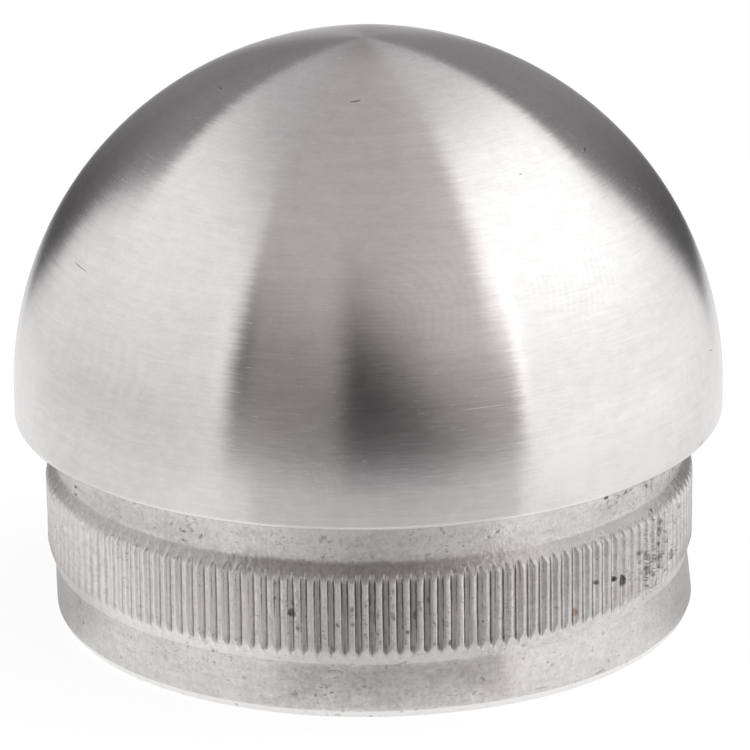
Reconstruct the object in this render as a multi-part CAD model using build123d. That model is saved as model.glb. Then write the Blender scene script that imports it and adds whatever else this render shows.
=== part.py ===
from build123d import *

import os
from math import cos, radians, sin, sqrt, tau

# A domed end cap for round handrail tube, cast in one piece.
# The dome closes the tube and its shoulder seats on the tube's cut end. The
# spigot below is hammered into the bore, where its cast ridges bite.
# Millimetres, +Z up. The origin is on the axis, at the spigot's open end.

# The tube that the cap closes
tube_diameter = 42.4
tube_wall = 2.0

# Dome above the shoulder: a straight skirt, then a half sphere flush with the tube
skirt_height = 1.4

# Spigot lengths, from the shoulder down
neck_length = 2.85
ramp_length = 0.8
ridge_length = 4.55
lead_in_length = 0.9
pilot_length = 3.3
foot_bevel = 0.35

# Spigot diameters, against the tube's bore
neck_relief = 0.6
ridge_bite = 0.6
pilot_clearance = 0.2

# Straight ridges round the spigot, with a V groove between each two
ridge_count = 156
ridge_land = 0.33
groove_depth = 0.26
ring_step = 0.05  # from the bottom of the grooves in to the ring that carries the ridges

# The hollow, open at the bottom: a round bore with a tapered roof in flats
spigot_wall = 2.7
dome_wall = 3.0  # least metal between the hollow and the dome
roof_flats = 20
roof_ledge = 0.3
roof_taper = 45  # degrees from upright

# Radii
dome_radius = tube_diameter / 2
bore_radius = dome_radius - tube_wall
neck_radius = bore_radius - neck_relief / 2
ridge_radius = bore_radius + ridge_bite / 2
groove_radius = ridge_radius - groove_depth
ring_radius = groove_radius - ring_step
pilot_radius = bore_radius - pilot_clearance / 2
hollow_radius = pilot_radius - spigot_wall

# Heights
ridge_foot = pilot_length + lead_in_length
ridge_top = ridge_foot + ridge_length
neck_foot = ridge_top + ramp_length
shoulder = neck_foot + neck_length
dome_centre = shoulder + skirt_height
crown = dome_centre + dome_radius

# The bore may rise until its edge is a dome wall away from the dome. The roof
# tapers on from there, until its own top edge is as near the dome.
edge_rise = sqrt((dome_radius - dome_wall) ** 2 - hollow_radius**2)
roof_foot = dome_centre + edge_rise
roof_angle = radians(roof_taper)
roof_slant = 2 * (hollow_radius * sin(roof_angle) - edge_rise * cos(roof_angle))
roof_rise = roof_slant * cos(roof_angle)


def turned_form():
    """Everything but the ridges and the hollow, turned from its half section."""
    section = Polyline(
        (0, crown),
        (0, 0),
        (pilot_radius - foot_bevel, 0),
        (pilot_radius, foot_bevel),
        (pilot_radius, pilot_length),
        (ring_radius, ridge_foot),
        (ring_radius, ridge_top),
        (neck_radius, neck_foot),
        (neck_radius, shoulder),
        (dome_radius, shoulder),
        (dome_radius, dome_centre),
    )
    section += CenterArc((0, dome_centre), dome_radius, 0, 90)
    return revolve(Plane.XZ * make_face(section), Axis.Z)


def ridge_band():
    """The toothed band: a flat land on each ridge and a V groove after it."""
    pitch = tau / ridge_count
    half_land = ridge_land / ridge_radius / 2
    corners = []
    for ridge in range(ridge_count):
        middle = ridge * pitch
        for radius, angle in (
            (ridge_radius, middle - half_land),
            (ridge_radius, middle + half_land),
            (groove_radius, middle + pitch / 2),
        ):
            corners.append((radius * cos(angle), radius * sin(angle)))
    outline = make_face(Polyline(*corners, close=True))
    return extrude(Plane.XY.offset(ridge_foot) * outline, ridge_length)


def hollow():
    """The space that the core leaves: the bore and its roof."""
    roof_base = Plane.XY.offset(roof_foot) * RegularPolygon(hollow_radius - roof_ledge, roof_flats)
    return extrude(Circle(hollow_radius), roof_foot) + extrude(roof_base, roof_rise, taper=roof_taper)


end_cap = turned_form() + ridge_band() - hollow()

os.makedirs("parts", exist_ok=True)
export_step(end_cap, "parts/end_cap.step")
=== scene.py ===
from math import cos, radians, sin, tau

import bmesh
import bpy
from mathutils import Matrix, Vector


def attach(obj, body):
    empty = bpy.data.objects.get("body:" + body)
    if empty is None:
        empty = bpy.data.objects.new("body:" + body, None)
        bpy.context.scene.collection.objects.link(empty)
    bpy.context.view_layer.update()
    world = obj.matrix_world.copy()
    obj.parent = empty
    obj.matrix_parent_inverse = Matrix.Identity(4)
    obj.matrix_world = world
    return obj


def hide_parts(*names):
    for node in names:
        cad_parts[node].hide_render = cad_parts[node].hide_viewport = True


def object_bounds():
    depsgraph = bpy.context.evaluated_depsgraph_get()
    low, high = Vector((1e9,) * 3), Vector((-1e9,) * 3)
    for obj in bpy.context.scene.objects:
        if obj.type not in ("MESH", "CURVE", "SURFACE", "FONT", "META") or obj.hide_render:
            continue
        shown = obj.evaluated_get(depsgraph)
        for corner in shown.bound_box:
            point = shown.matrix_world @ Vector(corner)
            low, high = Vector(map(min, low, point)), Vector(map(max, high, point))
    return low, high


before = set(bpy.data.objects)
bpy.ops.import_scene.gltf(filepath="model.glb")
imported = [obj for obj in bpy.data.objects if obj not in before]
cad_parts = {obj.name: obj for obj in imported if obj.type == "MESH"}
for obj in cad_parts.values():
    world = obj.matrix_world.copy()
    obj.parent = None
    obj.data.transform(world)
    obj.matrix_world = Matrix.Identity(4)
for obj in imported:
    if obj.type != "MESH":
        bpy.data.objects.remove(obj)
cadLow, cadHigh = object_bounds()  # the box of the CAD cap, in metres
mm = 0.001
tubeRadius = (cadHigh.x - cadLow.x) / 2 / mm
crown = cadHigh.z / mm


# Node trees: a Wire is a socket that plain sums can use, and Bench.add makes any node

class Wire:
    def __init__(self, bench, node, socket):
        self.bench, self.node, self.socket = bench, node, socket

    def out(self, name):
        return Wire(self.bench, self.node, self.node.outputs[name])

    def calc(self, operation, *others, clamp=False):
        settings = {"operation": operation, "use_clamp": clamp}
        return self.bench.add("ShaderNodeMath", settings, dict(enumerate((self, *others))))

    def __add__(self, other):
        return self.calc("ADD", other)

    def __sub__(self, other):
        return self.calc("SUBTRACT", other)

    def __neg__(self):
        return self.calc("MULTIPLY", -1.0)

    def __rsub__(self, other):
        return self.bench.add("ShaderNodeMath", {"operation": "SUBTRACT"}, {0: other, 1: self})

    def __mul__(self, other):
        return self.calc("MULTIPLY", other)

    def __truediv__(self, other):
        return self.calc("DIVIDE", other)

    def __rtruediv__(self, other):
        return self.bench.add("ShaderNodeMath", {"operation": "DIVIDE"}, {0: other, 1: self})

    def __pow__(self, other):
        return self.calc("POWER", other)

    __radd__ = __add__
    __rmul__ = __mul__


class Bench:
    def __init__(self, tree):
        self.tree = tree

    def add(self, kind, settings=None, inputs=None, out=0):
        node = self.tree.nodes.new(kind)
        for name, value in (settings or {}).items():
            setattr(node, name, value)
        for name, value in (inputs or {}).items():
            if isinstance(value, Wire):
                self.tree.links.new(value.socket, node.inputs[name])
            else:
                node.inputs[name].default_value = value
        return Wire(self, node, node.outputs[out] if len(node.outputs) else None)

    def mix(self, share, first, second):
        return self.add("ShaderNodeMix", {"data_type": "RGBA"}, {0: share, 6: first, 7: second}, 2)

    def step(self, value, low, high):  # 0 at low, 1 at high, and soft between; high may be the lesser
        return self.add("ShaderNodeMapRange", {"interpolation_type": "SMOOTHSTEP"},
                        {"Value": value, "From Min": low, "From Max": high})

    def band(self, value, low, full, stillFull, high):  # 1 from full to stillFull, 0 outside low and high
        return self.step(value, low, full) * self.step(value, high, stillFull)


# The casting: one pitch of it is drawn as a slice, and a node tree sets it round the axis

capShape = {  # millimetres; heights are from the spigot's open end
    "ridgeCount": 156,
    "skirtFoot": 0.1,        # how far above its rounded rim the skirt's last row is
    "shoulder": 12.33,
    "rimRound": 0.22,
    "neckFillet": 0.14,
    "neckRadius": 18.9,
    "neckFoot": 9.55,
    "crestTop": 8.5,
    "crestRadius": 19.5,
    "crestFoot": 4.45,
    "pilotTop": 3.3,
    "pilotRadius": 19.1,
    "footBevel": (0.27, 0.5),  # how far in, and how high
    "grooveDepth": 0.27,
    "grooveRise": 0.28,      # share of its depth that a groove loses on its way down
    "landHalf": 0.125,       # from a ridge's middle to where its side starts to fall
    "wallFoot": 0.315,       # and to where the side meets the groove's bottom
    "edgeSoft": 0.09,        # how far a cast edge is rounded, each way
    "boreRadius": 16.4,
    "mouthBevel": 0.2,
    "boreTop": 21.6,
    "boreRound": 2.0,        # where the hollow's wall turns into its roof
    "roofRadius": 7.4,
    "roofRound": 1.6,
    "roofTop": 30.2,
    "domeRows": 60,
    "crestRows": 9,
    "firstRidge": -0.95,     # degrees from the front, towards the right
    "seed": 7,
    # how far the casting strays, in mm, and how often it does on its way, per metre
    "ridgeWander": 0.056,    # a ridge sideways
    "wanderRate": 380.0,
    "ridgeDrop": 0.03,       # one ridge lower than the next
    "dropRate": 190.0,
    "unevenness": 0.03,      # a cast surface in and out
    "unevenRate": 900.0,
    # where the grooves are worn shallower: turn, half width and softness in degrees, and share of depth
    "worn": ((-80, 30, 14, 0.6), (-94, 20, 9, 0.14), (84, 18, 8, 0.55), (94, 14, 7, 0.12)),
    "pilotShift": 0.05,      # mm that the smooth end ring is off centre, to the right
    "pilotFlare": 0.38,      # mm that its right side is flared at the foot
    "pilotBlend": (0.85, 1.15),  # where both fade out upwards, in shares of the ring's height
    "flareSide": (0.1, 1.0),  # where the flare starts and is full, as a share of the way to the right
}


def smooth(low, high, value):
    share = min(1.0, max(0.0, (value - low) / (high - low)))
    return share * share * (3 - 2 * share)


def arcRows(centreRadius, centreHeight, radius, start, end, steps):
    angles = [radians(start + (end - start) * step / steps) for step in range(steps + 1)]
    return [(centreRadius + radius * cos(a), centreHeight + radius * sin(a)) for a in angles]


def lineRows(start, end, steps):
    return [tuple(a + (b - a) * n / steps for a, b in zip(start, end)) for n in range(steps + 1)]


def turnedRadius(shape, height):  # the spigot before its grooves, from the pilot up to the neck
    if height < shape["crestFoot"]:
        share = (height - shape["pilotTop"]) / (shape["crestFoot"] - shape["pilotTop"])
        return shape["pilotRadius"] + max(0.0, share) * (shape["crestRadius"] - shape["pilotRadius"])
    share = (shape["neckFoot"] - height) / (shape["neckFoot"] - shape["crestTop"])
    share = min(1.0, max(0.0, share))
    return shape["neckRadius"] + share * (shape["crestRadius"] - shape["neckRadius"])


def ridgeRows(shape, columns):
    # Each column runs down the ramp, along its own depth of groove and down the lead-in.
    # The rows bend with the edge where a groove runs out, so that the edge stays clean.
    crest, soft, steps = shape["crestRadius"], shape["edgeSoft"], shape["crestRows"]
    rampLean = (shape["neckFoot"] - shape["crestTop"]) / (crest - shape["neckRadius"])
    leadLean = (shape["crestFoot"] - shape["pilotTop"]) / (crest - shape["pilotRadius"])
    paths = []
    for s in columns:
        fall = shape["grooveDepth"] * smooth(shape["landHalf"], shape["wallFoot"], abs(s))
        fallBelow = fall * (1 - shape["grooveRise"])
        upper = shape["neckFoot"] - (crest - fall - shape["neckRadius"]) * rampLean
        lower = shape["pilotTop"] + (crest - fallBelow - shape["pilotRadius"]) * leadLean
        ramp = [shape["neckFoot"] + (upper + soft - shape["neckFoot"]) * n / 3 for n in (1, 2, 3)]
        lead = [lower - soft + (shape["pilotTop"] - lower + soft) * n / 3 for n in (0, 1, 2)]
        path = [(turnedRadius(shape, height), height) for height in ramp]
        path.append((crest - fall - soft / rampLean / 4, upper))
        path += lineRows((crest - fall, upper - soft), (crest - fallBelow, lower + soft), steps)
        path.append((crest - fallBelow - soft / leadLean / 4, lower))
        path += [(turnedRadius(shape, height), height) for height in lead]
        paths.append(path)
    return [[path[row] for path in paths] for row in range(len(paths[0]))]


def capRows(shape):
    # Rows of the section from the crown down the outside, and up the hollow to its roof.
    # A row is its columns, a radius and height for each, and 1 where the face above is as cast.
    pitch = tau * shape["crestRadius"] / shape["ridgeCount"]
    land, foot = shape["landHalf"], shape["wallFoot"]
    wall = foot - land
    # columns from the ridge's middle out: on its land, down its side and in the groove's middle
    half = [land * 0.8, land + wall * 0.2, land + wall * 0.5, foot - wall * 0.15, pitch / 2]
    fine = [-s for s in reversed(half)] + [0.0] + half
    single = [-pitch / 2, pitch / 2]
    rows = [([0.0], [(0.0, crown)], 0)]

    def turned(columns, points, cast=1):
        for point in points:
            rows.append((columns, [point] * len(columns), cast))

    domeCentre, shoulder, rim = crown - tubeRadius, shape["shoulder"], shape["rimRound"]
    turned(single, arcRows(0, domeCentre, tubeRadius, 90, 0, shape["domeRows"])[1:], 0)
    skirtFoot = (tubeRadius, shoulder + rim + shape["skirtFoot"])
    turned(single, lineRows((tubeRadius, domeCentre), skirtFoot, 2)[1:], 0)
    turned(single, arcRows(tubeRadius - rim, shoulder + rim, rim, 0, -90, 6), 0)
    neck, neckFoot, fillet = shape["neckRadius"], shape["neckFoot"], shape["neckFillet"]
    turned(single, lineRows((tubeRadius - rim - 0.1, shoulder), (neck + fillet, shoulder), 3))
    turned(single, [(neck + fillet * 2 / 7, shoulder - fillet * 2 / 7)])
    turned(single, lineRows((neck, shoulder - fillet), (neck, neckFoot + 0.35), 7))
    turned(fine, [(neck, neckFoot + 0.12), (neck + 0.02, neckFoot)])
    for points in ridgeRows(shape, fine):
        rows.append((fine, points, 1))
    pilot, top, (inset, rise) = shape["pilotRadius"], shape["pilotTop"], shape["footBevel"]
    turned(fine, [(pilot + 0.01, top), (pilot, top - 0.1)])
    turned(single, lineRows((pilot, top - 0.3), (pilot, rise + 0.1), 5))
    turned(single, [(pilot - inset * 0.04, rise - 0.02), (pilot - inset * 0.2, rise * 0.8),
                    (pilot - inset * 0.85, rise * 0.15), (pilot - inset * 1.1, 0)])
    bore, bevel, boreTop = shape["boreRadius"], shape["mouthBevel"], shape["boreTop"]
    turned(single, lineRows((pilot - inset - 0.3, 0), (bore + bevel, 0), 2))
    turned(single, [(bore + bevel * 0.3, bevel * 0.3), (bore, bevel)])
    turned(single, lineRows((bore, bevel + 0.4), (bore, boreTop - 0.8), 6))
    roof, roofTop = shape["roofRadius"], shape["roofTop"]
    boreRound, roofRound = shape["boreRound"], shape["roofRound"]
    corner = arcRows(bore - boreRound, boreTop - 0.8, boreRound, 9, 45, 4)
    vault = arcRows(roof - roofRound, roofTop - roofRound, roofRound, 45, 90, 4)
    turned(single, corner + lineRows(corner[-1], vault[0], 4)[1:-1] + vault)
    turned(single, [(roof * share, roofTop) for share in (0.45, 0.2)])
    rows.append(([0.0], [(0.0, roofTop)], 1))
    return rows


def bridge(slice_, aboveColumns, above, belowColumns, below):
    # faces between two rows, where one may have more columns than the other
    coarse = min(aboveColumns, belowColumns, key=len)
    if len(coarse) == 1:
        coarse = max(aboveColumns, belowColumns, key=len)
    for left, right in zip(coarse, coarse[1:]):
        top = [v for s, v in zip(aboveColumns, above) if left <= s <= right or len(above) == 1]
        foot = [v for s, v in zip(belowColumns, below) if left <= s <= right or len(below) == 1]
        yield slice_.faces.new([*foot, *reversed(top)])


def capSlice(shape):
    slice_ = bmesh.new()
    layers = {name: slice_.verts.layers.float.new(name) for name in ("fall", "land", "band", "cast")}
    castFace = slice_.faces.layers.float.new("castFace")
    across = slice_.loops.layers.float.new("across")  # on corners, so that joining the slices keeps it
    acrossAt = {}
    made = []
    for columns, points, cast in capRows(shape):
        line = []
        for s, (radius, height) in zip(columns, points):
            angle = s / shape["crestRadius"]
            vert = slice_.verts.new((radius * cos(angle) * mm, radius * sin(angle) * mm, height * mm))
            outside = radius > shape["neckRadius"] - 0.45 and height < shape["shoulder"] - 0.3
            band = smooth(shape["pilotTop"], shape["crestFoot"], height)
            band *= 1 - smooth(shape["crestTop"], shape["neckFoot"], height)
            vert[layers["band"]] = band * outside
            vert[layers["land"]] = 1 - smooth(shape["landHalf"], shape["wallFoot"], abs(s))
            acrossAt[vert] = s
            grooved = outside and height > shape["pilotTop"] - 0.1
            vert[layers["fall"]] = max(0.0, turnedRadius(shape, height) - radius) * grooved
            vert[layers["cast"]] = float(outside)
            line.append(vert)
        made.append((columns, line, cast))
    for (aboveColumns, above, _), (belowColumns, below, cast) in zip(made, made[1:]):
        for face in bridge(slice_, aboveColumns, above, belowColumns, below):
            face[castFace] = cast
            for corner in face.loops:
                corner[across] = acrossAt[corner.vert]
    mesh = bpy.data.meshes.new("capSlice")
    slice_.to_mesh(mesh)
    slice_.free()
    return mesh


def ridgeTree():
    tree = bpy.data.node_groups.new("capRound", "GeometryNodeTree")
    sockets = tree.interface
    sockets.new_socket("Geometry", in_out="OUTPUT", socket_type="NodeSocketGeometry")
    sockets.new_socket("Slice", in_out="INPUT", socket_type="NodeSocketGeometry")
    inputs = {"Int": ("Ridges", "Seed"), "Material": ("Satin", "As cast"),
              "Float": ("First ridge", "Ridge wander", "Ridge drop", "Unevenness",
                        "Pilot height", "Pilot shift", "Pilot flare")}
    for kind, names in inputs.items():
        for name in names:
            sockets.new_socket(name, in_out="INPUT", socket_type="NodeSocket" + kind)
    bench = Bench(tree)
    given = bench.add("NodeGroupInput").out

    def stored(name):
        return bench.add("GeometryNodeInputNamedAttribute", {"data_type": "FLOAT"}, {"Name": name})

    # one slice for each ridge, each with a number of its own
    index = bench.add("GeometryNodeInputIndex")
    turn = given("First ridge") + index * (tau / given("Ridges"))
    turn = bench.add("ShaderNodeCombineXYZ", None, {"Z": turn})
    points = bench.add("GeometryNodePoints", None, {"Count": given("Ridges")})
    ring = bench.add("GeometryNodeInstanceOnPoints", None,
                     {"Points": points, "Instance": given("Slice"), "Rotation": turn})
    own = bench.add("FunctionNodeRandomValue", {"data_type": "FLOAT"},
                    {"Max": 90.0, "ID": index, "Seed": given("Seed")}, out=1)
    ring = bench.add("GeometryNodeStoreNamedAttribute", {"data_type": "FLOAT", "domain": "INSTANCE"},
                     {"Geometry": ring, "Name": "ridge", "Value": own})
    ring = bench.add("GeometryNodeRealizeInstances", None, {"Geometry": ring})
    ring = bench.add("GeometryNodeMergeByDistance", None, {"Geometry": ring, "Distance": 2e-6})

    # how the casting strays from its drawing
    place = bench.add("GeometryNodeInputPosition")
    xyz = bench.add("ShaderNodeSeparateXYZ", None, {0: place})
    x, y, z = xyz.out("X"), xyz.out("Y"), xyz.out("Z")
    radius = (x * x + y * y) ** 0.5 + 1e-6
    across = x / radius

    def noise(vector, own, scale, detail):
        sway = bench.add("ShaderNodeTexNoise", {"noise_dimensions": "4D"},
                         {"Vector": vector, "W": own, "Scale": scale, "Detail": detail})
        return sway * 2.0 - 1.0

    up = bench.add("ShaderNodeCombineXYZ", None, {"Z": z})
    onRidge = stored("land") * stored("band")
    wander = noise(up, stored("ridge"), capShape["wanderRate"], 1.0) * given("Ridge wander") * onRidge
    drop = noise(up, stored("ridge") + 40.0, capShape["dropRate"], 2.0) * given("Ridge drop") * onRidge
    ripple = noise(place, 3.0, capShape["unevenRate"], 2.0) * given("Unevenness") * stored("cast")
    onPilot = 1 - bench.step(z, *(given("Pilot height") * share for share in capShape["pilotBlend"]))
    onPilot = onPilot * stored("cast")
    flare = (1 - z / given("Pilot height")).calc("MAXIMUM", 0.0) * bench.step(across, *capShape["flareSide"])
    outwards = drop + ripple + onPilot * flare * given("Pilot flare")
    outwards = outwards - onRidge * given("Ridge drop")
    turn, worn = x.calc("ARCTAN2", -y).calc("DEGREES"), 0.0
    for middle, half, soft, share in capShape["worn"]:
        worn = (1 - bench.step((turn - middle).calc("ABSOLUTE"), half - soft, half + soft)) * share + worn
    outwards = outwards + stored("fall") * mm * worn
    offset = bench.add("ShaderNodeCombineXYZ", None, {
        "X": across * outwards - y / radius * wander + onPilot * given("Pilot shift"),
        "Y": y / radius * outwards + across * wander})
    ring = bench.add("GeometryNodeSetPosition", None, {"Geometry": ring, "Offset": offset})
    ring = bench.add("GeometryNodeSetShadeSmooth", None, {"Geometry": ring})
    ring = bench.add("GeometryNodeSetMaterial", None, {"Geometry": ring, "Material": given("Satin")})
    asCast = stored("castFace").calc("GREATER_THAN", 0.5)
    ring = bench.add("GeometryNodeSetMaterial", None, {
        "Geometry": ring, "Selection": asCast, "Material": given("As cast")})
    bench.add("NodeGroupOutput", None, {"Geometry": ring})
    return tree


def bakeTree(name, mesh, tree, values):
    # runs the tree on the mesh and gives a plain mesh object, with no modifier left
    draft = bpy.data.objects.new(name + "Draft", mesh)
    bpy.context.scene.collection.objects.link(draft)
    modifier = draft.modifiers.new("round", "NODES")
    modifier.node_group = tree
    for item in tree.interface.items_tree:
        if item.in_out == "INPUT" and item.name in values:
            modifier[item.identifier] = values[item.name]
    depsgraph = bpy.context.evaluated_depsgraph_get()
    result = bpy.data.meshes.new_from_object(draft.evaluated_get(depsgraph), depsgraph=depsgraph)
    bpy.data.objects.remove(draft)
    piece = bpy.data.objects.new(name, result)
    bpy.context.scene.collection.objects.link(piece)
    return piece


def newMaterial(name):
    material = bpy.data.materials.new(name)
    material.use_nodes = True
    material.node_tree.nodes.clear()
    return material, Bench(material.node_tree)


markEdge = 1.35, 0.45  # where a mark starts and where it is full, in its own squared radius


class Place:
    # Where a point of the cap is, in millimetres, with its turn in degrees from the front
    # towards the right. Along runs down the outside from the crown, or is the spigot's height.
    def __init__(self, bench, dome):
        self.bench = bench
        spot = bench.add("ShaderNodeTexCoord", out="Object")
        self.spot = bench.add("ShaderNodeVectorMath", {"operation": "SCALE"}, {0: spot, 3: 1 / mm})
        xyz = bench.add("ShaderNodeSeparateXYZ", None, {0: self.spot})
        x, y, self.height = xyz.out("X"), xyz.out("Y"), xyz.out("Z")
        self.radius = (x * x + y * y) ** 0.5 + 1e-4
        self.sideX, self.sideY = x / self.radius, y / self.radius
        self.turn = x.calc("ARCTAN2", -y).calc("DEGREES")
        self.arc = self.radius * radians(1)  # mm round the surface in one degree
        self.along = self.height
        if dome:
            up = (self.height - (crown - tubeRadius)) / tubeRadius
            skirt = (up * -tubeRadius).calc("MAXIMUM", 0.0)
            self.along = up.calc("MAXIMUM", 0.0).calc("ARCCOSINE") * tubeRadius + skirt

    def noise(self, vector, scale, detail=2.0, seed=0.0):  # from -1 to 1
        if seed:
            vector = self.bench.add("ShaderNodeVectorMath", {"operation": "ADD"},
                                    {0: vector, 1: (seed, seed, seed)})
        made = self.bench.add("ShaderNodeTexNoise", None,
                              {"Vector": vector, "Scale": scale, "Detail": detail})
        return made * 2.0 - 1.0

    def grain(self, roundRate, across, detail=2.0, seed=0.0):  # drawn out round the axis
        vector = self.bench.add("ShaderNodeCombineXYZ", None, {
            "X": self.sideX * roundRate, "Y": self.sideY * roundRate, "Z": self.along * across})
        return self.noise(vector, 1.0, detail, seed)

    def offset(self, turn, along):  # how far right of and below a place on the surface
        return (self.turn - turn) * self.arc, self.along - along

    def mark(self, turn, along, length, width, slant=0.0, bend=0.0):  # 1 on a spot or stroke
        (right, down), tilt = self.offset(turn, along), radians(slant)
        u, v = right * (cos(tilt) * 2 / length), down * (cos(tilt) * 2 / width)
        if slant:
            u, v = u + down * (sin(tilt) * 2 / length), v - right * (sin(tilt) * 2 / width)
        if bend:
            v = v + right * right * (bend * 2 / width)
        return self.bench.step(u * u + v * v, *markEdge)

    def swirl(self, turn, along, spacing, sway):  # rings, from -1 to 1
        right, down = self.offset(turn, along)
        away = (right * right + down * down) ** 0.5
        return (away * (tau / spacing) + sway * 3.0).calc("SINE")

    def leaning(self, lean):  # the normal, tipped sideways round the axis
        normal = self.bench.add("ShaderNodeNewGeometry", out="Normal")
        side = self.bench.add("ShaderNodeCombineXYZ", None,
                              {"X": self.sideY * lean * -1.0, "Y": self.sideX * lean})
        made = self.bench.add("ShaderNodeVectorMath", {"operation": "ADD"}, {0: normal, 1: side})
        return self.bench.add("ShaderNodeVectorMath", {"operation": "NORMALIZE"}, {0: made})


satinLook = {
    "pale": (0.73, 0.717, 0.713, 1),
    "dull": (0.58, 0.565, 0.56, 1),
    "scratchAndHighlight": (0.86, 0.85, 0.85, 1),
    "nick": (0.24, 0.235, 0.23, 1),
    # grain drawn out round the axis: how often it changes round and across, its detail and its seed
    "hair": (16, 11.0, 3.0),
    "streak": (2.6, 2.4, 2.0, 4.0),
    "deeper": (9, 12.0, 3.0, 30.0),
    "sparks": (26, 12.0, 2.0, 40.0),
    "leaning": (7, 9.0, 3.0, 21.0),
    # and patches: how often they change in a millimetre, their detail and seed
    "cloud": (0.16, 2.0, 9.0),
    "mottle": (1.1, 3.0, 6.0),
    "grit": (5.0, 2.0, 8.0),
    "deeperEdge": (0.22, 0.5),
    "sparksEdge": (0.27, 0.6),
    # how much each of them makes the steel paler, from the shade that it has without them
    "shade": 0.56,
    "shares": {"hair": 0.34, "mottle": 0.32, "grit": 0.2, "streak": 0.24, "cloud": 0.22, "deeper": -0.14},
    # a painted highlight along the rim, standing in for its reflection: the heights where it fades, and its
    # share
    "rimHighlight": (12.46, 12.62, 0.65),
    "sparksShare": 0.4,
    "roughness": 0.22,
    "rougher": {"hair": 0.02, "deeper": 0.04, "sparks": 0.08},
    "lean": 0.016,           # how far the belt's lines tip the surface sideways
    "lines": 0.0012,         # mm deep
    # strokes: turn, millimetres down from the crown, length, width, slant, bend
    "nicks": ((-4.0, 8.2, 0.62, 0.13, -18, 0.5), (-2.6, 8.13, 0.3, 0.12, -30, 0),
              (-62.2, 22.73, 1.9, 0.06, 3, 0.02), (-68, 9.3, 0.5, 0.08, 5, 0), (39.3, 15.1, 0.26, 0.07, 0, 0),
              (65, 15.2, 0.5, 0.12, -20, 0), (74, 29.7, 0.9, 0.07, 14, 0), (86, 29.9, 1.1, 0.07, 12, 0),
              (66, 34.5, 0.9, 0.09, -14, 0)),
    "scratches": ((65.9, 14.2, 0.9, 0.08, 70, 0), (-23.6, 3.6, 0.2, 0.1, 5, 0),
                  (18.4, 28.02, 2.7, 0.08, 0, 0), (72, 12.3, 0.14, 0.1, 0, 0), (-71, 15.2, 0.14, 0.1, 0, 0)),
    # polishing swirls, rings round a middle that show in one patch: the middle's turn and millimetres
    # down, the spacing, then the patch's turn, millimetres down, length and width
    "swirls": ((2, 22.9, 0.52, 11.5, 21.6, 6.5, 6.5), (-58, 27.4, 0.9, -45, 27.4, 6.0, 3.6),
               (-44, 17.0, 0.3, -47.5, 20.9, 2.6, 1.3), (-20, 33.5, 0.36, -5, 31.2, 5.5, 2.4),
               (24, 22.0, 0.45, 41, 21.9, 7.0, 4.6)),
    "swirl": 0.07,
    # duller and brighter areas: turn, millimetres down, length, width, slant, share
    "hazes": ((-47, 31.5, 15, 8, 0, -0.24), (43, 32, 13, 6, 0, 0.3)),
}


def satinSteel():
    material, bench = newMaterial("satinSteel")
    at = Place(bench, True)
    hair, streak, leaning = (at.grain(*satinLook[name]) for name in ("hair", "streak", "leaning"))
    cloud, mottle, grit = (at.noise(at.spot, *satinLook[name]) for name in ("cloud", "mottle", "grit"))
    # the few belt lines that cut deeper, and fine bright scratches
    deeper = bench.step(at.grain(*satinLook["deeper"]), *satinLook["deeperEdge"])
    sparks = bench.step(at.grain(*satinLook["sparks"]), *satinLook["sparksEdge"])
    patterns = {"hair": hair, "mottle": mottle, "grit": grit, "streak": streak, "cloud": cloud,
                "deeper": deeper, "sparks": sparks}
    shade, roughness = satinLook["shade"], satinLook["roughness"]
    for name, share in satinLook["shares"].items():
        shade = patterns[name] * share + shade
    for name, share in satinLook["rougher"].items():
        roughness = patterns[name] * share + roughness
    for *patch, share in satinLook["hazes"]:
        shade = shade + at.mark(*patch) * (cloud * 0.8 + 1.0) * share
    for middle, down, spacing, *patch in satinLook["swirls"]:
        shade = shade + at.swirl(middle, down, spacing, cloud) * at.mark(*patch) * satinLook["swirl"]
    colour = bench.mix(shade, satinLook["dull"], satinLook["pale"])
    for colourName, strokes in (("nick", satinLook["nicks"]), ("scratchAndHighlight", satinLook["scratches"])):
        on = None
        for stroke in strokes:
            found = at.mark(*stroke)
            on = found if on is None else on.calc("MAXIMUM", found)
        colour = bench.mix(on, colour, satinLook[colourName])
    # a painted highlight along the rim's lower edge, mixed in with the bright sparks in the scratch colour
    low, high, highlightShare = satinLook["rimHighlight"]
    rimHighlight = (1 - bench.step(at.height, low, high)) * highlightShare
    bright = rimHighlight.calc("MAXIMUM", sparks * satinLook["sparksShare"])
    colour = bench.mix(bright, colour, satinLook["scratchAndHighlight"])
    bump = bench.add("ShaderNodeBump", None, {
        "Strength": 1.0, "Distance": mm, "Height": (hair + streak * 0.6) * satinLook["lines"],
        "Normal": at.leaning((leaning + streak * 0.4) * satinLook["lean"])})
    shader = bench.add("ShaderNodeBsdfPrincipled", None, {
        "Base Color": colour, "Metallic": 1.0, "Roughness": roughness,
        "Anisotropic": 0.93, "Anisotropic Rotation": 0.25, "Normal": bump})
    bench.add("ShaderNodeOutputMaterial", None, {"Surface": shader})
    return material


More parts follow.
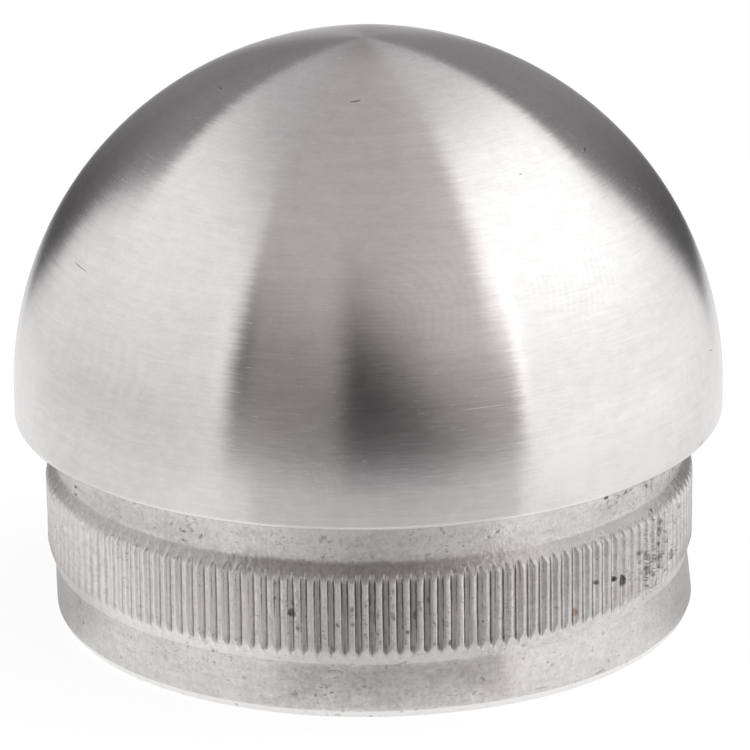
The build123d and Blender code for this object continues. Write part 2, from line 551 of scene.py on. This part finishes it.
castLook = {
    "pale": (0.8, 0.781, 0.772, 1),
    "dull": (0.46, 0.443, 0.433, 1),
    "rubbedAndHighlight": (0.9, 0.89, 0.885, 1),
    "dirtAndShade": (0.1, 0.092, 0.087, 1),
    "rust": (0.3, 0.14, 0.09, 1),
    "roughness": (0.36, 0.29),   # as cast, and on the turned end ring
    "sandDepth": 0.012,      # mm
    # patches: how often they change in a millimetre, their detail and seed
    "sand": (4.8, 3.0),
    "mottle": (2.0, 3.0, 5.0),
    "cloud": (0.4, 2.0, 2.0),
    "specks": (2.2, 4.0, 12.0),
    # grain round the axis: how often it changes round and across, its detail and its seed
    "turned": (12, 4.0, 3.0, 3.0),
    "dashes": (64, 8.0, 3.0, 12.0),
    "shade": 0.56,
    "shares": {"sand": 0.49, "mottle": 0.5, "cloud": 0.3, "turned": 0.3},
    "aboveRing": 0.06,       # how much paler the casting is than its end ring
    "ringSidesLight": (0.3, 0.17),  # painted light on the ring's sides: how much of this contrast is lost, and how much paler
    "neckPaintedLight": (0.26, 0.3, 10.8, 11.8),  # painted light on the neck's front: how much paler, and how much more at its top
    # how far round the front reaches: where the end ring is darker, where the neck gets painted light, and
    # where its sides have no painted shade
    "ringFront": (-30, -12, 16, 26),
    "neckFrontLight": (-40, -12, 12, 40),
    "sidesFrom": (-40, -14, 14, 30),
    # the lead-in is rubbed bright, less on the right, and has painted light on its far sides
    "leadRight": (14, 26, 50, 64),
    "leadFar": (56, 72),
    "leadRubAndLight": (0.55, 0.8, 0.45),  # its share, what the right lacks of that, and the painted light that the far sides add
    "footHighlight": 0.9,          # share of the painted highlight on the foot's edge, standing in for the floor's reflection
    # the ramp's painted shade is lighter between these turns, and to the left of these
    "rampRight": ((8, 22, 30, 48), 0.25),
    "rampLeft": ((-20, -60), 0.25),
    # heights where each part starts and ends, softly
    "ringTop": (3.22, 3.34),
    "leadIn": (3.34, 3.42, 4.0, 4.6),
    "footLine": (0.42, 0.5),
    "neckFoot": (9.5, 10),
    "grooves": (3.92, 4.2, 8.3, 8.9),
    "grooveEnds": (4.0, 4.2, 4.4, 4.8),
    "ramp": (8.5, 8.85, 9.4, 9.65),
    "neckSideShade": (9.45, 9.6, 9.9, 11.3),
    # painted shade in the grooves, partly dirt, and painted light on the ridges, each in two fours and a
    # share: first across a ridge in mm, then round the cap in degrees, where it starts, where it is full,
    # where it is still full and where it ends
    "ridgeDirtAndShade": (((-2, -1, -0.17, -0.05), (-26, -8, 10, 26), 0.36),
                  ((0.1, 0.22, 1, 2), (-24, -2, 10, 26), 0.38),
                  ((0.16, 0.24, 0.34, 0.4), (-8, 0, 22, 36), 0.18),
                  ((-2, -1, -0.24, -0.12), (-56, -30, -26, -8), 0.4),
                  ((0.3, 0.38, 1, 2), (-56, -36, -30, -16), 0.3),
                  ((0.03, 0.11, 1, 2), (15, 22, 44, 58), 0.46),
                  ((-2, -1, 1, 2), (22, 36, 90, 120), 0.05),
                  ((-0.2, -0.14, -0.04, 0.04), (22, 32, 48, 60), 0.2),
                  ((-0.16, -0.1, 0.02, 0.08), (-60, -44, -24, -12), 0.08)),
    "ridgePaintedLight": (((0.03, 0.16, 0.28, 0.38), (-62, -44, -22, -8), 0.95),
                 ((-2, -1, 1, 2), (-120, -100, -62, -50), 0.24),
                 ((-0.12, -0.02, 0.14, 0.22), (-26, -8, 10, 26), 0.42),
                 ((-0.36, -0.3, -0.22, -0.14), (24, 34, 40, 56), 0.2)),
    "ownDirt": 0.09,         # by which one groove is dirtier than the next
    "endDarker": 0.16,         # darker still at a groove's lower end
    "rampShade": 0.42,
    "neckShade": 0.11,
    "speckDirt": 0.75,
    # where a speck or a dash starts and is full, in its noise
    "speckEdge": (0.2, 0.72),
    "dashEdge": (0.22, 0.72),
    "dashShare": 0.9,        # how dark a dash is next to a speck
    # spots: turn, height, length, width, slant, share
    "pits": ((69, 9.3, 9.0, 1.4, -4, 0.26), (51, 5.0, 5.0, 1.2, -6, 0.16), (-13.4, 6.5, 0.55, 0.6, 0, 0.9),
             (-13.2, 7.1, 0.5, 0.24, 90, 0.7), (46.3, 6.06, 0.6, 0.4, 10, 1), (48.6, 5.75, 0.7, 0.8, 0, 1),
             (42.2, 6.3, 0.34, 0.3, 0, 0.8), (46, 11.05, 0.44, 0.18, 0, 1),
             (51.6, 10.85, 0.34, 0.18, 10, 0.9), (47, 10.4, 0.5, 0.2, 20, 0.4),
             (-65.8, 10.04, 0.5, 0.18, 10, 0.8), (-65.7, 9.6, 0.4, 0.18, 0, 0.7),
             (-34.2, 10.3, 0.3, 0.16, 0, 0.7), (-34.4, 9.75, 0.3, 0.16, 0, 0.7),
             (22.5, 10.75, 0.34, 0.2, 30, 0.5), (43.2, 0.62, 0.9, 0.14, 5, 0.4),
             (30.4, 0.72, 0.9, 0.12, 0, 0.35), (0.4, 6.3, 0.9, 0.2, 90, 0.6), (7.3, 6.38, 0.6, 0.24, 90, 0.8),
             (9.5, 7.3, 0.3, 0.26, 0, 0.7), (13.4, 4.6, 0.4, 0.3, 90, 0.9), (-6.4, 4.4, 0.4, 0.24, 90, 0.8),
             (64, 6.55, 0.7, 0.24, 0, 0.8), (56.5, 5.75, 1.0, 0.26, 12, 0.8), (66, 5.3, 0.6, 0.24, 20, 0.8)),
    "rusty": ((37.1, 4.9, 0.5, 0.55, 20),),
    # sooty patches, where the specks crowd together: turn, height, length, width, slant, share
    "soot": ((68, 10.2, 8.0, 1.6, -12, 0.2), (58.6, 6.4, 5.4, 3.4, 90, 0.22), (65, 6.8, 4.6, 4.6, 90, 0.16),
             (52.5, 5.7, 3.0, 4.0, 90, 0.14), (56, 9.2, 16.0, 0.9, 0, 0.16), (53, 10.4, 6.0, 1.2, -10, 0.16),
             (-34, 10.4, 3.4, 2.0, 0, 0.1), (-45, 9.0, 24.0, 0.8, 0, 0.12), (-13.4, 6.4, 3.6, 1.6, 90, 0.16),
             (3, 6.2, 3.6, 8.0, 90, 0.14), (-38, 2.2, 9.0, 1.6, 0, 0.06), (-6, 2.4, 9.0, 2.0, 10, 0.1)),
}


def castSteel():
    material, bench = newMaterial("castSteel")
    at = Place(bench, False)
    sand, mottle, cloud, specks = (at.noise(at.spot, *castLook[name])
                                   for name in ("sand", "mottle", "cloud", "specks"))
    turned, dashes = at.grain(*castLook["turned"]), at.grain(*castLook["dashes"])

    def stored(name):
        return bench.add("ShaderNodeAttribute", {"attribute_name": name}, None, "Fac")

    def ridgePaint(name):
        across, total = stored("across"), 0.0
        for acrossEdges, turnEdges, share in castLook[name]:
            total = bench.band(across, *acrossEdges) * bench.band(at.turn, *turnEdges) * share + total
        return total

    # the steel's tone, with painted light: paler on the end ring's sides, the neck's front and parts of the
    # ridges
    patterns = {"sand": sand, "mottle": mottle, "cloud": cloud, "turned": turned}
    ring = 1 - bench.step(at.height, *castLook["ringTop"])
    ringSidesLight = ring * (1 - bench.band(at.turn, *castLook["ringFront"]))
    shade = (1 - ring) * castLook["aboveRing"] + castLook["shade"]
    for name, share in castLook["shares"].items():
        shade = patterns[name] * share + shade
    # painted light on the neck's front, and more of it at its top under the shoulder
    neckFrontLight = bench.step(at.height, *castLook["neckFoot"]) * bench.band(at.turn, *castLook["neckFrontLight"])
    paintedLight, topPaintedLight, low, high = castLook["neckPaintedLight"]
    shade = shade + neckFrontLight * (bench.step(at.height, low, high) * topPaintedLight + paintedLight)
    # painted light on parts of the ridges: walls and lands lighter by turn, where the lamps light them
    shade = shade + ridgePaint("ridgePaintedLight") * stored("band")
    # painted light on the end ring's sides, away from its front
    flatter, paintedLight = castLook["ringSidesLight"]
    shade = shade * (1 - ringSidesLight * flatter) + ringSidesLight * paintedLight
    colour = bench.mix(shade, castLook["dull"], castLook["pale"])

    # the lead-in is rubbed bright, with painted light on its far sides; the foot's edge has a painted
    # highlight
    share, rightLoss, farShare = castLook["leadRubAndLight"]
    leadRight = 1 - bench.band(at.turn, *castLook["leadRight"]) * rightLoss
    leadFar = bench.step(at.turn.calc("ABSOLUTE"), *castLook["leadFar"])
    # wear on the lead-in, with painted light on its far sides and a painted highlight on the foot's edge
    rubbedAndHighlight = bench.band(at.height, *castLook["leadIn"]) * (leadRight * share + leadFar * farShare)
    rubbedAndHighlight = rubbedAndHighlight + (1 - bench.step(at.height, *castLook["footLine"])) * castLook["footHighlight"]
    colour = bench.mix(rubbedAndHighlight, colour, castLook["rubbedAndHighlight"])

    # dirt and painted shade in the grooves, least on the left, painted shade on the ramp above them and on
    # the neck's sides, and dirt in specks all over
    onRidge = bench.add("ShaderNodeCombineXYZ", None, {"X": stored("ridge") * 7.3, "Z": at.height * 0.25})
    own, land = at.noise(onRidge, 1.0, 1.0), stored("land")
    # painted shade in the groove corners, darkest on the side turned away from the front, with some dirt; one
    # groove dirtier than the next
    dirtAndShade = ridgePaint("ridgeDirtAndShade") + own * castLook["ownDirt"]
    dirtAndShade = dirtAndShade + bench.band(at.height, *castLook["grooveEnds"]) * (1 - land) * castLook["endDarker"]
    dirtAndShade = dirtAndShade * (mottle * 0.6 + sand * 0.4 + 0.98)
    dirtAndShade = dirtAndShade * bench.band(at.height - land * 0.3, *castLook["grooves"])
    (rightEdges, rightShare), (leftEdges, leftShare) = castLook["rampRight"], castLook["rampLeft"]
    # painted shade on the upward-facing ramp below the neck, under the dome
    ramp = bench.band(at.height, *castLook["ramp"]) * (1 - bench.band(at.turn, *rightEdges) * rightShare)
    ramp = ramp * (1 - bench.step(at.turn, *leftEdges) * leftShare)
    dirtAndShade = dirtAndShade.calc("MAXIMUM", ramp * (mottle * 0.5 + 0.85) * castLook["rampShade"])
    # painted shade on the neck's sides, away from the front, above the ramp
    neckSides = 1 - bench.band(at.turn, *castLook["sidesFrom"])
    neckSideShade = bench.band(at.height, *castLook["neckSideShade"]) * neckSides
    dirtAndShade = dirtAndShade.calc("MAXIMUM", neckSideShade * (mottle * 0.7 + 1.0) * castLook["neckShade"])
    crowd = mottle * 0.2 + cloud * 0.16
    for *patch, share in castLook["soot"]:
        crowd = crowd + at.mark(*patch) * share
    dashes = bench.step(dashes + crowd, *castLook["dashEdge"]) * castLook["dashShare"]
    specks = bench.step(specks + crowd, *castLook["speckEdge"]).calc("MAXIMUM", dashes)
    dirtAndShade = dirtAndShade.calc("MAXIMUM", specks * castLook["speckDirt"])
    frayed = sand * 0.3 + mottle * 0.3 + 0.85
    for *spot, share in castLook["pits"]:
        dirtAndShade = dirtAndShade.calc("MAXIMUM", at.mark(*spot) * frayed * share)
    colour = bench.mix(dirtAndShade, colour, castLook["dirtAndShade"])
    for spot in castLook["rusty"]:
        colour = bench.mix(at.mark(*spot) * frayed * 0.7, colour, castLook["rust"])

    castRough, ringRough = castLook["roughness"]
    bump = bench.add("ShaderNodeBump", None, {
        "Strength": 1.0, "Distance": mm,
        "Height": (sand + mottle * 1.6 - specks * 0.8) * (1 - ring * 0.7) * castLook["sandDepth"]})
    shader = bench.add("ShaderNodeBsdfPrincipled", None, {
        "Base Color": colour, "Metallic": 1.0,
        "Roughness": dirtAndShade * 0.2 + sand * 0.02 + ring * (ringRough - castRough) + castRough,
        "Anisotropic": 0.96, "Anisotropic Rotation": 0.25, "Normal": bump})
    bench.add("ShaderNodeOutputMaterial", None, {"Surface": shader})
    return material


def makeCap():
    cap = bakeTree("capCasting", capSlice(capShape), ridgeTree(), {
        "Ridges": capShape["ridgeCount"], "First ridge": radians(capShape["firstRidge"] - 90),
        "Seed": capShape["seed"], "Ridge wander": capShape["ridgeWander"] * mm,
        "Ridge drop": capShape["ridgeDrop"] * mm, "Unevenness": capShape["unevenness"] * mm,
        "Pilot height": capShape["pilotTop"] * mm, "Pilot shift": capShape["pilotShift"] * mm,
        "Pilot flare": capShape["pilotFlare"] * mm, "Satin": satinSteel(), "As cast": castSteel()})
    triangles = sum(len(face.vertices) - 2 for face in cap.data.polygons)
    print("cap:", len(cap.data.vertices), "points,", triangles, "triangles")
    return cap


cap = makeCap()
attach(cap, "root")
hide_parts("end_cap")


# The set: floor, light and camera

view = {
    "distance": 280.0,       # mm from the middle of the dome's sphere
    "elevation": 19.73,      # degrees above the horizon
    "roll": 0.69,            # degrees
    "focal": 224.2,          # mm, on a 36 mm sensor
    "shift": (0.00906, 0.00484),
}

paper = {
    "reach": 0.088,          # metres from the cap to the sheet's four sides
    "white": 0.3,
    "glow": 0.8,             # light that comes up through the sheet, as on a light table
    # the cap's underside also sees two dim zones of the sheet in front of it: how far from the axis
    # each starts, is full, is still full and ends, in mm, and what it takes away
    "dimZones": (((21.2, 24.7, 30, 34), 0.74), ((43, 51, 66, 76), 0.48)),
    # and the two lines that they end at: a point on it in mm, the way across it, and its softness
    "dimSides": ((7.6, -17.5, 0.682, 0.731, 0.5), (-3.2, -18.2, -0.766, 0.643, 2.8)),
    # a dim patch on both sides of the cap: from which turn, how far out, and its share
    "beside": (61, 81, (-2, -1, 28, 34), 0.5),
}


def makeFloor():
    mesh, reach = bpy.data.meshes.new("floor"), paper["reach"]
    corners = [(-reach, -reach, 0), (reach, -reach, 0), (reach, reach, 0), (-reach, reach, 0)]
    mesh.from_pydata(corners, [], [(0, 1, 2, 3)])
    floor = bpy.data.objects.new("floor", mesh)
    bpy.context.scene.collection.objects.link(floor)
    material, bench = newMaterial("palePaper")
    white = paper["white"]
    spot = bench.add("ShaderNodeTexCoord", out="Object")
    xyz = bench.add("ShaderNodeSeparateXYZ", None, {0: spot})
    x, y = xyz.out("X") / mm, xyz.out("Y") / mm
    away = (x * x + y * y) ** 0.5
    dim = 0.0
    for edges, share in paper["dimZones"]:
        dim = bench.band(away, *edges) * share + dim
    for atX, atY, wayX, wayY, soft in paper["dimSides"]:
        dim = dim * (1 - bench.step((x - atX) * wayX + (y - atY) * wayY, -soft, soft))
    turn, turnEnd, edges, share = paper["beside"]
    sideways = x.calc("ARCTAN2", -y).calc("DEGREES").calc("ABSOLUTE")
    dim = bench.step(sideways, turn, turnEnd) * bench.band(away, *edges) * share + dim
    seen = bench.add("ShaderNodeLightPath", out="Is Camera Ray")
    glow = (1 - dim * (1 - seen)) * paper["glow"]
    shader = bench.add("ShaderNodeBsdfPrincipled", None, {
        "Base Color": (white, white, white, 1), "Roughness": 0.9, "Specular IOR Level": 0.0,
        "Emission Color": (1, 1, 1, 1), "Emission Strength": glow})
    bench.add("ShaderNodeOutputMaterial", None, {"Surface": shader})
    mesh.materials.append(material)
    print("floor:", reach * 2, "m across")


def makeCamera():
    data = bpy.data.cameras.new("camera")
    data.sensor_width = 36
    data.lens = view["focal"]
    data.shift_x, data.shift_y = view["shift"]
    data.clip_start, data.clip_end = 0.01, 10
    camera = bpy.data.objects.new("camera", data)
    bpy.context.scene.collection.objects.link(camera)
    tilt, middle = radians(view["elevation"]), Vector((0, 0, (crown - tubeRadius) * mm))
    back = Vector((0, -cos(tilt), sin(tilt)))
    turn = back.to_track_quat("Z", "Y").to_matrix() @ Matrix.Rotation(radians(-view["roll"]), 3, "Z")
    camera.matrix_world = Matrix.Translation(middle + back * view["distance"] * mm) @ turn.to_4x4()
    bpy.context.scene.camera = camera
    print("camera:", view["focal"], "mm lens")


# A light tent. A place in it is told by where the dome shows it to the lens: degrees round
# from the front, towards the right, and degrees down from the crown.

tent = {
    # a lamp: its light high up, halfway and low down, then where it goes from one to the next, and how softly
    "leftLamp": (0.56, 1.14, 0.62),
    "leftTurns": (28.3, 11.6, 78.3, 29.5),
    # its top edge hangs towards the strip: from which turn, how far on, and how low
    "leftBow": (-58, 34, 16.7),
    "rightLamp": (0.703, 1.6, 1.26),
    "rightTurns": (27.4, 10.4, 64.1, 8.3),
    "rightBow": (60, -36, 6.6),
    # the bright line along each lamp's inner side: how far down, and softness
    "brim": ((53, 67, 68, 84), 0.6),
    "leftBrim": (-26.4, 0.22),           # where, and how much brighter
    "rightBrim": (26.9, 0.9),
    # a lamp's far side is dimmer: from which turn, softness, how far down, share
    "leftFade": (73, 8, (50, 58, 66, 76), 0.18),
    "rightFade": (59, 9, (26, 38, 66, 76), 0.2),
    "roof": (0.553, 0.792, 0.221),       # the pale strip between the lamps, and the dark room under it
    "roofTurns": (58.7, 33.4, 65.5, 13.1),
    "roofLean": 0.335,
    "roofTint": (1.03, 0.99, 0.98, 1),
    # brighter from one turn on, down to a place, and then to the left of one, down from a place:
    # turn and softness, place and softness, and share
    "roofRight": (12, 6, 68, 4, 0.14),
    "roomLeft": (-12, 6, 75, 4, 0.35),
    # a dark line inside its left side: where, softness, how far down, and its share
    "seam": (-20.4, 0.5, (52, 64, 71, 78), 0.8),
    # the strip's sides: where, softness, how far it stands off low down, and its softness there
    "leftSide": (-22.3, 1.3, -1.3, 1.9),
    "rightSide": (22.4, 2.4, 3.4, 1.6),
    "lowDown": (62, 6),                  # from how far down, and softness
    # the dark lens: its left side, right side and top, each with its softness, how far its right side leans
    # above a place, to how far below that, and its share
    "lens": (-4.4, 2.6, 8.4, 8.5, 57.2, 12.0, 0.6, 72, 12.0, 0.93),
    # the unlit back: high up near the lamps, high up behind, and low down
    "back": (0.205, 0.29, 0.075),
    "backTurns": (74, 12, 46, 17),
    "backTint": (1.02, 0.985, 1.0, 1),
    "backTop": (5.7, 6.0),
    "backLeft": (55.5, 0.95, 43, 2.4),   # its side, how fast that swings out, from where, and softness
    "backRight": (60.8, 0.62, 44, 2.4),
    # how far each lamp reaches over that side, and where
    "bulges": (((43, 51, 54, 66), 4.2), ((40, 46, 49, 58), 1.0)),
    # how the back is lighter or darker on each side: between which turns, and by what share
    "leftShades": (((50, 58, 66, 78), 0.3), ((74, 84, 104, 112), -0.15), ((106, 120, 170, 190), 0.3)),
    "rightShades": (((56, 64, 70, 84), 0.22), ((112, 126, 170, 190), 0.06)),
    # light from behind on the crown's far side: turn and down, with the softness of each, and its level
    "backRim": (138, 30, 11, 9, 0.8),
    # and light past the outline: how squarely it's seen, from and to, and its level
    "rim": (0.0, 0.16, 0.8),
    "leftEnd": (84.5, 0.95, 70.6, 1.5),  # beyond this the back is bright again
    "rightEnd": (87.6, 1.2, 70.6, 1.5),
    "ends": (50, 6),                     # from how far down, and softness
}


def makeLight():
    world = bpy.data.worlds.new("tent")
    bpy.context.scene.world = world
    world.use_nodes = True
    world.node_tree.nodes.clear()
    bench = Bench(world.node_tree)
    tilt = radians(view["elevation"])
    toLens = (0, -cos(tilt), sin(tilt))
    way = bench.add("ShaderNodeTexCoord", out="Generated")
    half = bench.add("ShaderNodeVectorMath", {"operation": "ADD"}, {0: way, 1: toLens})
    half = bench.add("ShaderNodeVectorMath", {"operation": "NORMALIZE"}, {0: half})
    xyz = bench.add("ShaderNodeSeparateXYZ", None, {0: half})
    down = xyz.out("Z").calc("ARCCOSINE").calc("DEGREES")
    turn = xyz.out("X").calc("ARCTAN2", -xyz.out("Y")).calc("DEGREES")

    def edge(value, place, soft):
        return bench.step(value, place - soft, place + soft)

    def within(value, edges):
        return bench.band(value, *edges)

    def blend(share, first, second):
        return first + share * (second - first)

    def swung(value, side, swing, start, soft):
        return edge(value - (down - start).calc("MAXIMUM", 0.0) * swing, side, soft)

    def lamp(levels, turns, bow, brim, fade, outwards):
        high, middle, low = levels
        upper, upperSoft, lower, lowerSoft = turns
        start, reach, hang = bow
        share = (turn - start).calc("DIVIDE", reach, clamp=True)
        glow = edge(down - share * share * hang, upper, upperSoft) * (middle - high) + high
        glow = glow + edge(down, lower, lowerSoft) * (low - middle)
        (place, gain), (edges, soft) = brim, tent["brim"]
        glow = glow * (edge(turn * outwards, place * outwards, soft) * within(down, edges) * gain + 1)
        place, soft, edges, share = fade
        return glow * (1 - edge(turn * -outwards, place, soft) * within(down, edges) * share)

    # the two lamps
    left = lamp(*(tent["left" + part] for part in ("Lamp", "Turns", "Bow", "Brim", "Fade")), 1)
    right = lamp(*(tent["right" + part] for part in ("Lamp", "Turns", "Bow", "Brim", "Fade")), -1)
    light = blend(edge(turn, 0, 1), left, right)

    # the strip between them, with the lens at its foot
    high, middle, room = tent["roof"]
    upper, upperSoft, lower, lowerSoft = tent["roofTurns"]
    strip = edge(down, upper, upperSoft) * (middle - high) + high
    strip = blend(edge(down - turn * tent["roofLean"], lower, lowerSoft), strip, room)
    place, soft, rightPlace, rightSoft, top, topSoft, lean, leanFrom, leanTo, share = tent["lens"]
    rightPart = edge(turn - (down - leanFrom).calc("MINIMUM", leanTo) * lean, rightPlace, rightSoft)
    lens = edge(turn, place, soft) * (1 - rightPart)
    strip = strip * (1 - lens * edge(down, top, topSoft) * share)
    place, soft, edges, share = tent["seam"]
    strip = strip * (1 - (1 - edge(turn, place, soft)) * within(down, edges) * share)
    place, soft, end, endSoft, share = tent["roofRight"]
    strip = strip * (edge(turn, place, soft) * (1 - edge(down, end, endSoft)) * share + 1)
    place, soft, start, startSoft, share = tent["roomLeft"]
    strip = strip * ((1 - edge(turn, place, soft)) * edge(down, start, startSoft) * share + 1)
    lowDown = edge(down, *tent["lowDown"])

    def side(place, soft, off, lowSoft):
        return blend(lowDown, edge(turn, place, soft), edge(turn, place + off, lowSoft))

    between = side(*tent["leftSide"]) * (1 - side(*tent["rightSide"]))
    light = blend(between, light, strip)
    colour = bench.mix(between, (1, 1, 1, 1), tent["roofTint"])

    # the unlit back
    sideways = turn.calc("ABSOLUTE")
    near, behind, low = tent["back"]
    place, soft, lower, lowerSoft = tent["backTurns"]
    unlit = blend(edge(down, lower, lowerSoft), edge(sideways, place, soft) * (behind - near) + near, low)
    for outwards, shades in ((-turn, tent["leftShades"]), (turn, tent["rightShades"])):
        for edges, share in shades:
            unlit = unlit * (within(outwards, edges) * share + 1)
    place, soft, start, startSoft, level = tent["backRim"]
    unlit = unlit + edge(sideways, place, soft) * edge(down, start, startSoft) * level
    facing = bench.add("ShaderNodeVectorMath", {"operation": "DOT_PRODUCT"}, {0: half, 1: toLens}, "Value")
    start, end, level = tent["rim"]
    unlit = unlit + (1 - bench.step(facing, start, end)) * level
    (leftEdges, leftBulge), (rightEdges, rightBulge) = tent["bulges"]
    back = swung(-turn - within(down, leftEdges) * leftBulge, *tent["backLeft"])
    back = back.calc("MAXIMUM", swung(turn - within(down, rightEdges) * rightBulge, *tent["backRight"]))
    back = back.calc("MAXIMUM", 1 - edge(down, *tent["backTop"]))
    ends = edge(down, *tent["ends"])
    for outwards, (place, lean, start, soft) in ((-turn, tent["leftEnd"]), (turn, tent["rightEnd"])):
        back = back * (1 - edge(outwards + (down - start) * lean, place, soft) * ends)
    light = blend(back, light, unlit)
    colour = bench.mix(back, colour, tent["backTint"])

    seen = bench.add("ShaderNodeLightPath", out="Is Camera Ray")
    background = bench.add("ShaderNodeBackground", None, {
        "Color": bench.mix(seen, colour, (1, 1, 1, 1)), "Strength": blend(seen, light, 1.0)})
    bench.add("ShaderNodeOutputWorld", None, {"Surface": background})
    print("light tent:", len(world.node_tree.nodes), "nodes")


makeFloor()
makeCamera()
makeLight()
bpy.context.scene.view_settings.view_transform = "Standard"
